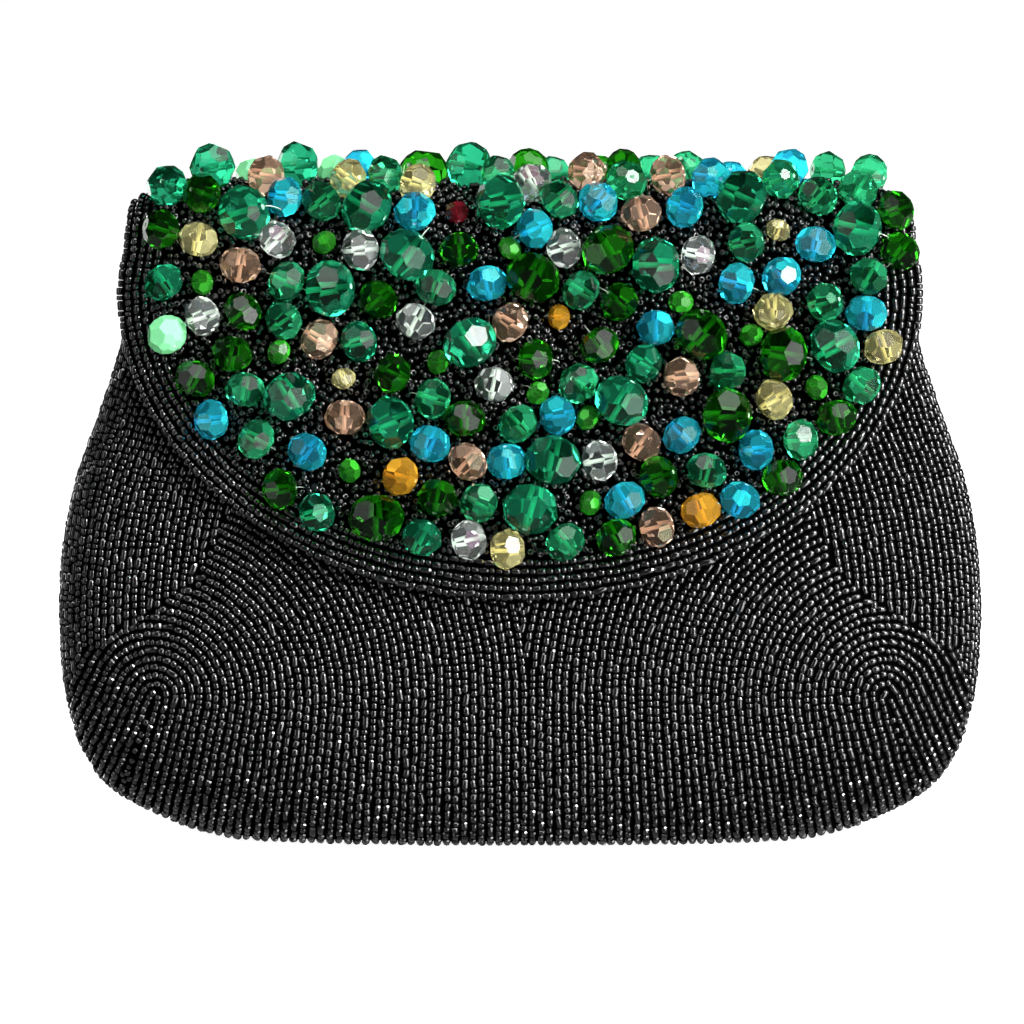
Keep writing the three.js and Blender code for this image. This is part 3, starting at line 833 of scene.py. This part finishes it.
def plain_bead(sides):
    """A seed bead with fewer faces for the back: along X, thickest in its middle"""
    end_radius, swelling = 0.78, 1.35
    bead = bmesh.new()
    bmesh.ops.create_cone(
        bead, cap_ends=True, segments=sides, radius1=end_radius, radius2=end_radius, depth=1
    )
    whole = bead.verts[:] + bead.edges[:] + bead.faces[:]
    bmesh.ops.bisect_plane(bead, geom=whole, plane_co=(0, 0, 0), plane_no=(0, 0, 1))
    middle = [vertex for vertex in bead.verts if abs(vertex.co.z) < 0.1]
    bmesh.ops.scale(bead, verts=middle, vec=(swelling, swelling, 1))
    for face in bead.faces:
        face.smooth = abs(face.normal.z) < 0.9
    return laid_along_x(bead)


def laid_along_x(bead):
    """A form made along Z, turned to lie along X"""
    bmesh.ops.rotate(bead, verts=bead.verts[:], matrix=Matrix.Rotation(math.pi / 2, 3, "Y"))
    return form_of(bead)


def ring_bead(sides):
    """A loose seed bead with an open hole along X"""
    hole, rim = 0.42, 0.95
    bead = bmesh.new()
    corners = [(-0.5, hole, 0), (-0.38, rim, 0), (0.38, rim, 0), (0.5, hole, 0)]
    verts = [bead.verts.new(corner) for corner in corners]
    edges = [bead.edges.new((verts[index - 1], verts[index])) for index in range(4)]
    bmesh.ops.spin(
        bead,
        geom=verts + edges,
        cent=(0, 0, 0),
        axis=(1, 0, 0),
        angle=2 * math.pi,
        steps=sides,
        use_merge=True,
    )
    bmesh.ops.remove_doubles(bead, verts=bead.verts[:], dist=0.001)
    bmesh.ops.recalc_face_normals(bead, faces=bead.faces[:])
    for face in bead.faces:
        face.smooth = True
    return form_of(bead)


def thread_hook(thickness):
    """The sewing thread at one end of a hole, in radii of a glass bead: out along Z, then down along X"""
    path = [(0, 0.8), (0.02, 1.02), (0.2, 1.14), (0.55, 1.18), (1, 1.12)]
    thread = bmesh.new()
    rings = []
    for down, out in path:
        around = [(-thickness, 0), (0, -thickness), (thickness, 0), (0, thickness)]
        rings.append([thread.verts.new((down + slip, side, out + slip)) for slip, side in around])
    for first, second in zip(rings, rings[1:]):
        for corner in range(4):
            thread.faces.new((first[corner - 1], first[corner], second[corner], second[corner - 1]))
    thread.faces.new(rings[0])
    thread.faces.new(rings[-1])
    bmesh.ops.recalc_face_normals(thread, faces=thread.faces[:])
    return form_of(thread)


def form_of(shape):
    """A small form that is repeated: its corners, its faces, and how each face is shaded and turned"""
    shape.verts.index_update()
    shape.normal_update()
    form = {
        "corners": np.array([vertex.co[:] for vertex in shape.verts]),
        "faces": [[vertex.index for vertex in face.verts] for face in shape.faces],
        "smooth": np.array([face.smooth for face in shape.faces]),
        "finish": np.array([face.material_index for face in shape.faces]),
        "normals": np.array([face.normal[:] for face in shape.faces]),
    }
    shape.free()
    return form


def repeated(name, form, centres, axes, shades):
    """One mesh of many copies of a form. The columns of axes carry the form's own axes and sizes."""
    corners, faces = form["corners"], form["faces"]
    points = in_shared_frame(centres)[:, None] + np.einsum("nij,mj->nmi", axes * MM, corners)
    starts = np.arange(len(centres)) * len(corners)
    whole = [[start + corner for corner in face] for start in starts.tolist() for face in faces]
    mesh = bpy.data.meshes.new(name)
    mesh.from_pydata(points.reshape(-1, 3).tolist(), [], whole)
    shade = mesh.attributes.new("shade", "FLOAT", "POINT")
    shade.data.foreach_set("value", np.repeat(shades, len(corners)).astype(np.float32))
    mesh.polygons.foreach_set("use_smooth", np.tile(form["smooth"], len(centres)))
    mesh.polygons.foreach_set("material_index", np.tile(form["finish"], len(centres)))
    mesh.update()
    return placed(name, mesh)


def mesh_of(name, shape):
    """A shape that is done, as a mesh"""
    mesh = bpy.data.meshes.new(name)
    shape.to_mesh(mesh)
    shape.free()
    return mesh


def placed(name, mesh):
    """A mesh as a piece of the bag that rides on its one body"""
    piece = bpy.data.objects.new(name, mesh)
    bpy.context.scene.collection.objects.link(piece)
    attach(piece, BODY)
    return piece


def seed_piece(name, form, beads, width, rng):
    """Seed beads as one piece, no two quite as thick"""
    thinnest, thickest = 0.82, 1.04
    centres, ahead, facing, lengths = beads
    sideways = unit(np.cross(facing, ahead))
    facing = np.cross(ahead, sideways)
    radius = width / 2 * rng.uniform(thinnest, thickest, len(centres))
    turn = rng.uniform(0, math.pi, len(centres))
    first = np.cos(turn)[:, None] * sideways + np.sin(turn)[:, None] * facing
    second = np.cross(ahead, first)
    axes = np.stack([ahead * lengths[:, None], first * radius[:, None], second * radius[:, None]], -1)
    return repeated(name, form, centres, axes, rng.random(len(centres)))


# Materials


class Value:
    """A number that changes over a surface. Sums and products of values add Math nodes."""

    def __init__(self, finish, socket):
        self.finish = finish
        self.socket = socket

    def combined(self, operation, first, second):
        node = self.finish.node("ShaderNodeMath", {"operation": operation}, {0: first, 1: second})
        return Value(self.finish, node.outputs[0])

    def __add__(self, other):
        return self.combined("ADD", self, other)

    def __mul__(self, other):
        return self.combined("MULTIPLY", self, other)


class Nodes:
    """A tree of shader nodes"""

    def __init__(self, tree):
        self.tree = tree

    def node(self, kind, settings=None, sockets=None):
        """Adds a node, sets it up, then fills or links its sockets"""
        node = self.tree.nodes.new(kind)
        for key, value in (settings or {}).items():
            setattr(node, key, value)
        for key, value in (sockets or {}).items():
            self.feed(node.inputs[key], value)
        return node

    def feed(self, target, value):
        """Links a socket or sets its value"""
        if isinstance(value, Value):
            value = value.socket
        if isinstance(value, bpy.types.NodeSocket):
            self.tree.links.new(value, target)
        else:
            target.default_value = value


class Finish(Nodes):
    """One material, with its shader and the nodes that feed it"""

    def __init__(self, name):
        self.material = bpy.data.materials.new(name)
        self.material.use_nodes = True
        super().__init__(self.material.node_tree)
        self.shader = self.tree.nodes["Principled BSDF"]

    def set(self, **sockets):
        """Fills or links the shader's own sockets"""
        for key, value in sockets.items():
            self.feed(self.shader.inputs[key.replace("_", " ").title().replace("Ior", "IOR")], value)

    def clouded(self, share, colour):
        """Mixes in a second, opaque shader of the given colour, glossy too"""
        sockets = {"Base Color": colour, "Roughness": 0.06, "Specular IOR Level": 0.25}
        cloud = self.node("ShaderNodeBsdfPrincipled", None, sockets)
        sockets = {0: share, 1: self.shader.outputs[0], 2: cloud.outputs[0]}
        mix = self.node("ShaderNodeMixShader", None, sockets)
        self.tree.links.new(mix.outputs[0], self.tree.nodes["Material Output"].inputs["Surface"])

    def attribute(self, name):
        node = self.node("ShaderNodeAttribute", {"attribute_name": name, "attribute_type": "GEOMETRY"})
        return Value(self, node.outputs["Fac"])

    def place(self):
        return self.node("ShaderNodeTexCoord").outputs["Object"]

    def noise(self, scale, detail):
        node = self.node(
            "ShaderNodeTexNoise", None, {"Vector": self.place(), "Scale": scale, "Detail": detail}
        )
        return Value(self, node.outputs["Fac"])

    def mixed(self, share, first, second):
        node = self.node("ShaderNodeMix", {"data_type": "RGBA"}, {0: share, 6: first, 7: second})
        return node.outputs[2]

    def bumped(self, height, distance, strength):
        node = self.node(
            "ShaderNodeBump", None, {"Height": height, "Distance": distance, "Strength": strength}
        )
        return node.outputs["Normal"]


def opaque(colour, share=1):
    """A colour with its alpha, scaled"""
    return (*(min(channel * share, 1) for channel in colour), 1)


def seed_finish(colour):
    """Polished black glass, a little greyer and rougher on some beads than on others"""
    finish = Finish("Black seed glass")
    shade = finish.attribute("shade")
    finish.set(
        base_color=finish.mixed(shade, opaque(colour, 0.6), opaque(colour, 1.7)),
        roughness=shade * 0.08 + 0.06,
        normal=finish.bumped(finish.noise(2600, 2), 0.00006, 0.35),
        ior=1.55,
    )
    return finish.material


def cloth_finish(colour):
    """Black woven cloth"""
    finish = Finish("Black cloth")
    weave = {"wave_type": "BANDS", "bands_direction": "X"}
    warp = finish.node("ShaderNodeTexWave", weave, {"Vector": finish.place(), "Scale": 900})
    weft = finish.node(
        "ShaderNodeTexWave", {**weave, "bands_direction": "Z"}, {"Vector": finish.place(), "Scale": 900}
    )
    threads = Value(finish, warp.outputs["Fac"]) * Value(finish, weft.outputs["Fac"])
    finish.set(
        base_color=finish.mixed(threads, opaque(colour, 0.7), opaque(colour, 1.8)),
        roughness=finish.noise(160, 3) * 0.12 + 0.78,
        normal=finish.bumped(threads, 0.0001, 0.6),
        specular_ior_level=0.0,
    )
    return finish.material


def glass_finish(name, colour, cloud, film):
    """Clear coloured glass with a cloud of its own colour in it, some beads lighter at random, and some
    facets lighter with painted sparkle and painted rim light
    """
    finish = Finish(name.capitalize() + " glass")
    shade, facet = finish.attribute("shade"), finish.attribute("facet")
    share, darkest, lightest = cloud
    finish.set(
        # Base colour lighter on some beads at random, and on facets with painted sparkle and painted rim
        # light
        base_color=finish.mixed(shade * 0.5 + facet * 0.5, opaque(colour, 0.7), opaque(colour, 1.5)),
        roughness=finish.noise(400, 2) * 0.03 + 0.02,
        transmission_weight=1.0,
        ior=1.52,
        specular_tint=(0.27, 0.27, 0.27, 1),
        thin_film_thickness=film,
        thin_film_ior=1.66,
    )
    # The cloud is lighter on facets with painted sparkle and painted rim light
    finish.clouded(share, finish.mixed(facet, opaque(colour, darkest), opaque(colour, lightest)))
    return finish.material


def drilled_finish(name, colour):
    """The frosted wall of a hole drilled through glass"""
    finish = Finish(name.capitalize() + " drilled")
    pale = [0.15 + 0.6 * channel for channel in colour]
    grain = finish.noise(1800, 2)
    finish.set(base_color=finish.mixed(grain, opaque(pale, 0.8), opaque(pale)), roughness=0.6)
    return finish.material


def thread_finish(colour):
    """Clear nylon thread"""
    finish = Finish("Clear thread")
    finish.set(
        base_color=finish.mixed(finish.noise(900, 2), opaque(colour, 0.85), opaque(colour, 1.1)),
        roughness=0.15,
        transmission_weight=0.6,
    )
    return finish.material


def steel_finish():
    """Brushed steel"""
    finish = Finish("Brushed steel")
    stretched = finish.node(
        "ShaderNodeMapping", None, {"Vector": finish.place(), "Scale": (60, 900, 900)}
    )
    brushing = finish.node("ShaderNodeTexNoise", None, {"Vector": stretched.outputs[0], "Scale": 4.0})
    grain = Value(finish, brushing.outputs["Fac"])
    finish.set(
        base_color=finish.mixed(grain, (0.42, 0.42, 0.43, 1), (0.62, 0.62, 0.63, 1)),
        roughness=grain * 0.18 + 0.26,
        normal=finish.bumped(grain, 0.00003, 0.4),
        metallic=1.0,
    )
    return finish.material


# Pieces


def cloth_shell(name, columns, rows, outer, inner):
    """A closed shell of cloth whose two faces follow functions of two shares, from 0 to 1"""
    cloth = bmesh.new()
    bmesh.ops.create_grid(cloth, x_segments=columns, y_segments=rows, size=0.5)
    lining = bmesh.ops.extrude_face_region(cloth, geom=cloth.faces[:], use_keep_orig=True)["geom"]
    inside = [item for item in lining if isinstance(item, bmesh.types.BMVert)]
    lined = set(inside)
    outside = [vertex for vertex in cloth.verts if vertex not in lined]
    for surface, verts in ((outer, outside), (inner, inside)):
        shares = np.array([vertex.co.xy[:] for vertex in verts]) + 0.5
        for vertex, place in zip(verts, in_shared_frame(surface(*shares.T))):
            vertex.co = place
    bmesh.ops.recalc_face_normals(cloth, faces=cloth.faces[:])
    for face in cloth.faces:
        face.smooth = True
    return placed(name, mesh_of(name, cloth))


def panel_cloth(side, inset):
    """One face of a panel's cloth: its foot first, then up to the mouth"""
    foot_share = 0.12
    crowding = 1.5

    def point(across, up):
        turn = (across - 0.5) * math.pi
        rise = np.clip((up - foot_share) / (1 - foot_share), 0, 1)
        height = inset + (MOUTH - inset) * rise**crowding
        points = panel_point(turn, height, side, inset)
        inwards = np.clip(up / foot_share, 0, 1)
        points[:, 1] = points[:, 1] * inwards + side * SEAM_GAP * (1 - inwards)
        points[:, 0] = points[:, 0] * -side
        return points

    return point


def flap_cloth(offset):
    """One face of the flap's cloth, from its front edge over the fold to the end of its tail"""
    front_share = 0.6
    hem = 0.8

    def point(across, up):
        share = np.sin((across - 0.5) * math.pi)
        front = np.clip(up / front_share, 0, 1)
        over = np.clip((up - front_share) / (1 - front_share), 0, 1)
        edge = flap_edge(FLAP_HALF_WIDTH * share) + hem
        along = edge + (MOUTH - edge) * front + (TAIL_END - MOUTH) * over
        narrowing = np.clip((along - FLAP_WIDEST) / (MOUTH - FLAP_WIDEST), 0, 1)
        width = FLAP_HALF_WIDTH + (FOLD_HALF_WIDTH - FLAP_HALF_WIDTH) * narrowing
        width = width + (TAIL_HALF_WIDTH - FOLD_HALF_WIDTH) * over - hem
        return flap_point(width * share, along, offset, GROUND_REACH)

    return point


def finished(piece, material, slot):
    """A piece with its material. Its slot is not used."""
    piece.data.materials.append(material)


class BAG_OT_pouch_cloth(bpy.types.Operator):
    """Makes the cloth of the pouch's two panels"""

    bl_idname = "bag.pouch_cloth"
    bl_label = "Pouch cloth"

    def execute(self, context):
        material = cloth_finish(context.scene.bag_colours.cloth_black)
        for side, name, node, sewn_to in (
            (FRONT, "pouch_front_cloth", "front_panel", "back_panel"),
            (BACK, "pouch_back_cloth", "back_panel", "front_panel"),
        ):
            faces = panel_cloth(side, CLOTH_INSET), panel_cloth(side, CLOTH_INSET + CLOTH_WALL)
            piece = cloth_shell(name, CLOTH_COLUMNS, POUCH_CLOTH_ROWS, *faces)
            finished(piece, material, "flap_cloth")
            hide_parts(node)
        return {"FINISHED"}


class BAG_OT_flap_cloth(bpy.types.Operator):
    """Makes the cloth of the flap, folded over the mouth"""

    bl_idname = "bag.flap_cloth"
    bl_label = "Flap cloth"

    def execute(self, context):
        faces = flap_cloth(FLAP_CLOTH_OUTSIDE), flap_cloth(FLAP_CLOTH_INSIDE)
        piece = cloth_shell("flap_cloth", CLOTH_COLUMNS, FLAP_CLOTH_ROWS, *faces)
        finished(piece, cloth_finish(context.scene.bag_colours.cloth_black), "flap_cloth")
        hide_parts("flap")
        return {"FINISHED"}


class BAG_OT_pouch_seeds(bpy.types.Operator):
    """Covers the pouch with rows of seed beads"""

    bl_idname = "bag.pouch_seeds"
    bl_label = "Pouch seed beads"

    def execute(self, context):
        sizes = context.scene.bag_sizes
        material = seed_finish(context.scene.bag_colours.seed_black)
        rng = np.random.default_rng(RANDOM_SEED)
        pitch = sizes.row_pitch / MM
        for name, form, side in (
            ("seed_rows_front", barrel_bead(sides=8), FRONT),
            ("seed_rows_back", plain_bead(sides=5), BACK),
        ):
            beads = seeds_on_panel(side, pitch, rng)
            on_left = beads[0][:, 0] < 0
            for half, chosen in (("_left", on_left), ("_right", ~on_left)):
                piece = seed_piece(name + half, form, those(beads, chosen), sizes.seed_width / MM, rng)
                finished(piece, material, "seed_beads")
        return {"FINISHED"}


class BAG_OT_flap_seeds(bpy.types.Operator):
    """Edges the flap with rows of seed beads and scatters more around its glass beads"""

    bl_idname = "bag.flap_seeds"
    bl_label = "Flap seed beads"

    def execute(self, context):
        sizes = context.scene.bag_sizes
        material = seed_finish(context.scene.bag_colours.seed_black)
        rng = np.random.default_rng(RANDOM_SEED + 1)
        glass = seated_glass()
        pitch, width = sizes.row_pitch / MM, sizes.seed_width / MM
        edging = border_seeds(pitch, glass, rng)
        border = seed_piece("seed_rows_flap", barrel_bead(sides=8), edging, width, rng)
        lap = tail_seeds(pitch, glass, rng)
        tail = seed_piece("seed_rows_tail", barrel_bead(sides=6), lap, width, rng)
        loose = loose_seeds(sizes.ground_spacing / MM, pitch, glass, rng)
        ground = seed_piece("seed_ground_flap", ring_bead(sides=6), loose, width, rng)
        for piece in (border, tail, ground):
            finished(piece, material, "seed_beads")
        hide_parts("bead_field")
        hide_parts("bead_ridge")
        return {"FINISHED"}


class BAG_OT_glass_beads(bpy.types.Operator):
    """Sets the faceted glass beads on the flap, one piece for each colour"""

    bl_idname = "bag.glass_beads"
    bl_label = "Glass beads"

    def execute(self, context):
        colours = context.scene.bag_colours
        sizes = context.scene.bag_sizes
        rng = np.random.default_rng(RANDOM_SEED + 2)
        glass = seated_glass()
        form = cut_bead(GLASS_SIDES, sizes.hole_share)
        hooks = []
        for colour in GLASS_CHART:
            chosen = glass["colour"] == colour
            centres, facing = glass["centre"][chosen], glass["facing"][chosen]
            radius = glass["radius"][chosen] * rng.uniform(*GLASS_SPREAD, len(centres))
            turned = hole_axes(facing, rng)
            axes = turned * radius[:, None, None] * GLASS_FLATTENING
            piece = repeated("glass_" + colour, form, centres, axes, rng.random(len(centres)))
            # Painted sparkle and painted rim light on the facets of each bead
            facet = piece.data.attributes.new("facet", "FLOAT", "FACE")
            facet.data.foreach_set("value", painted_facet_light_levels(form, turned, facing, rng).ravel())
            clear = getattr(colours, colour)
            material = glass_finish(colour, clear, CLOUDS_AND_PAINTED_FACET_LIGHT[colour], FILMS.get(colour, 0))
            finished(piece, material, SHARED_SLOTS.get(colour, colour + "_glass"))
            piece.data.materials.append(drilled_finish(colour, clear))
            for end in (-1, 1):
                bare = rng.random(len(centres)) < BARE_THREADS
                ways = thread_axes(turned[:, :, 2] * end, facing, radius)
                hooks.append((centres[bare], ways[bare]))
        centres, axes = joined(hooks)
        thickness = sizes.thread_width / MM / MEDIUM
        threads = repeated("sewing_thread", thread_hook(thickness), centres, axes, rng.random(len(centres)))
        finished(threads, thread_finish(colours.thread), "crystal_glass")
        return {"FINISHED"}


def painted_facet_light_levels(form, turned, facing, rng):
    """Painted light on the facets of each bead: painted sparkle on a few at random, and painted rim light
    on those that stand up from the flap
    """
    painted_sparkle, rarity, rise = 0.8, 3.5, 0.45
    standing = 1 - np.abs(np.einsum("nij,fj,ni->nf", turned, form["normals"], facing))
    # Painted sparkle on a few facets at random, plus painted rim light, weighted by rise, on facets that
    # stand up from the flap
    return (painted_sparkle * rng.random(standing.shape) ** rarity + rise * standing**2).astype(np.float32)


def hole_axes(facing, rng):
    """Axes of glass beads: the hole lies nearly flat on the flap and the bead is turned about it freely"""
    tilt = 0.25
    hole = unit(np.cross(facing, rng.normal(size=facing.shape)) + tilt * rng.normal(size=facing.shape))
    first = unit(np.cross(hole, rng.normal(size=facing.shape)))
    return np.stack([first, np.cross(hole, first), hole], -1)


def thread_axes(hole, facing, radius):
    """Axes of the thread at the end of a hole: down to the flap, across, and out of the hole"""
    across = unit(np.cross(hole, -facing))
    return np.stack([np.cross(across, hole), across, hole], -1) * radius[:, None, None]


class BAG_OT_snap(bpy.types.Operator):
    """Gives the hidden snap its brushed steel"""

    bl_idname = "bag.snap"
    bl_label = "Snap"

    def execute(self, context):
        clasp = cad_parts["clasp"]
        clasp.data.materials.clear()
        clasp.data.materials.append(steel_finish())
        return {"FINISHED"}


class BAG_OT_stage(bpy.types.Operator):
    """Sets the pale floor, the soft light and the camera"""

    bl_idname = "bag.stage"
    bl_label = "Stage"

    def execute(self, context):
        scene = context.scene
        floor_reach = 40
        floor = bmesh.new()
        bmesh.ops.create_grid(floor, x_segments=2, y_segments=2, size=floor_reach)
        ground = bpy.data.objects.new("floor", mesh_of("floor", floor))
        scene.collection.objects.link(ground)
        paper = Finish("White paper")
        paper.set(
            base_color=paper.mixed(paper.noise(30, 2), (0.48, 0.48, 0.48, 1), (0.52, 0.52, 0.52, 1)),
            roughness=0.9,
            emission_color=(1, 1, 1, 1),
            emission_strength=0.96,
        )
        ground.data.materials.append(paper.material)
        ground.visible_glossy = False
        ground.visible_diffuse = False
        ground.visible_shadow = False
        scene.world = studio_world()
        for name, (place, size, power) in SOFTBOXES.items():
            softbox(name, place, size, power)
        scene.view_settings.view_transform = "Standard"
        place_camera(scene)
        return {"FINISHED"}


def studio_world():
    """A white backdrop, seen directly or through glass, round the dim room that the gloss shows"""
    world = bpy.data.worlds.new("Studio")
    world.use_nodes = True
    nodes = Nodes(world.node_tree)
    direction = nodes.node("ShaderNodeTexCoord")
    upward = nodes.node("ShaderNodeSeparateXYZ", None, {0: direction.outputs["Generated"]})
    levels = {"From Min": -0.6, "From Max": 0.0, "To Min": 0.5, "To Max": 0.02}
    shade = nodes.node("ShaderNodeMapRange", None, {"Value": upward.outputs["Z"], **levels})
    room = nodes.tree.nodes["Background"]
    nodes.feed(room.inputs["Strength"], 1)
    nodes.feed(room.inputs["Color"], shade.outputs[0])
    backdrop = nodes.node("ShaderNodeBackground", None, {"Color": (1, 1, 1, 1)})
    ray = nodes.node("ShaderNodeLightPath")
    seen_by = {0: ray.outputs["Is Camera Ray"], 1: ray.outputs["Is Transmission Ray"]}
    seen = nodes.node("ShaderNodeMath", {"operation": "MAXIMUM"}, seen_by)
    shaders = {0: seen.outputs[0], 1: room.outputs[0], 2: backdrop.outputs[0]}
    mix = nodes.node("ShaderNodeMixShader", None, shaders)
    nodes.feed(nodes.tree.nodes["World Output"].inputs["Surface"], mix.outputs[0])
    return world


def softbox(name, place, size, power):
    """A wide or tall light that faces the bag"""
    light = bpy.data.lights.new(name, "AREA")
    light.shape = "RECTANGLE"
    light.size, light.size_y = size
    light.energy = power
    lamp = bpy.data.objects.new(name, light)
    lamp.location = place
    lamp.rotation_euler = (Vector((0, 0, 0.08)) - lamp.location).to_track_quat("-Z", "Y").to_euler()
    bpy.context.scene.collection.objects.link(lamp)


def place_camera(scene):
    """The photograph's camera: a long lens a little above the bag's middle"""
    image = 1024
    distance = 4
    aim = Vector(in_shared_frame((AIM_ACROSS, AIM_DEPTH, AIM_HEIGHT)))
    camera = bpy.data.cameras.new("Camera")
    camera.sensor_width = 36
    camera.lens = camera.sensor_width * distance / (image * PIXEL * MM)
    eye = bpy.data.objects.new("Camera", camera)
    eye.location = aim + distance * Vector((0, -math.cos(CAMERA_ELEVATION), math.sin(CAMERA_ELEVATION)))
    eye.rotation_euler = (math.pi / 2 - CAMERA_ELEVATION, 0, 0)
    scene.collection.objects.link(eye)
    scene.camera = eye


class BAG_PT_sidebar(bpy.types.Panel):
    """Lists the bag's pieces, sizes and colours"""

    bl_idname = "BAG_PT_sidebar"
    bl_label = "Beaded evening bag"
    bl_space_type = "VIEW_3D"
    bl_region_type = "UI"
    bl_category = "Bag"

    def draw(self, context):
        for operator in OPERATORS:
            self.layout.operator(operator.bl_idname)
        for group in (context.scene.bag_sizes, context.scene.bag_colours):
            for name in group.__annotations__:
                self.layout.prop(group, name)


OPERATORS = (
    BAG_OT_pouch_cloth,
    BAG_OT_flap_cloth,
    BAG_OT_pouch_seeds,
    BAG_OT_flap_seeds,
    BAG_OT_glass_beads,
    BAG_OT_snap,
    BAG_OT_stage,
)
CLASSES = (BagSizes, BagColours, *OPERATORS, BAG_PT_sidebar)


def register():
    for cls in CLASSES:
        bpy.utils.register_class(cls)
    bpy.types.Scene.bag_sizes = bpy.props.PointerProperty(type=BagSizes)
    bpy.types.Scene.bag_colours = bpy.props.PointerProperty(type=BagColours)


def unregister():
    del bpy.types.Scene.bag_colours
    del bpy.types.Scene.bag_sizes
    for cls in reversed(CLASSES):
        bpy.utils.unregister_class(cls)


def main():
    register()
    bpy.ops.bag.pouch_cloth()
    bpy.ops.bag.flap_cloth()
    bpy.ops.bag.pouch_seeds()
    bpy.ops.bag.flap_seeds()
    bpy.ops.bag.glass_beads()
    bpy.ops.bag.snap()
    bpy.ops.bag.stage()


if __name__ == "__main__":
    main()
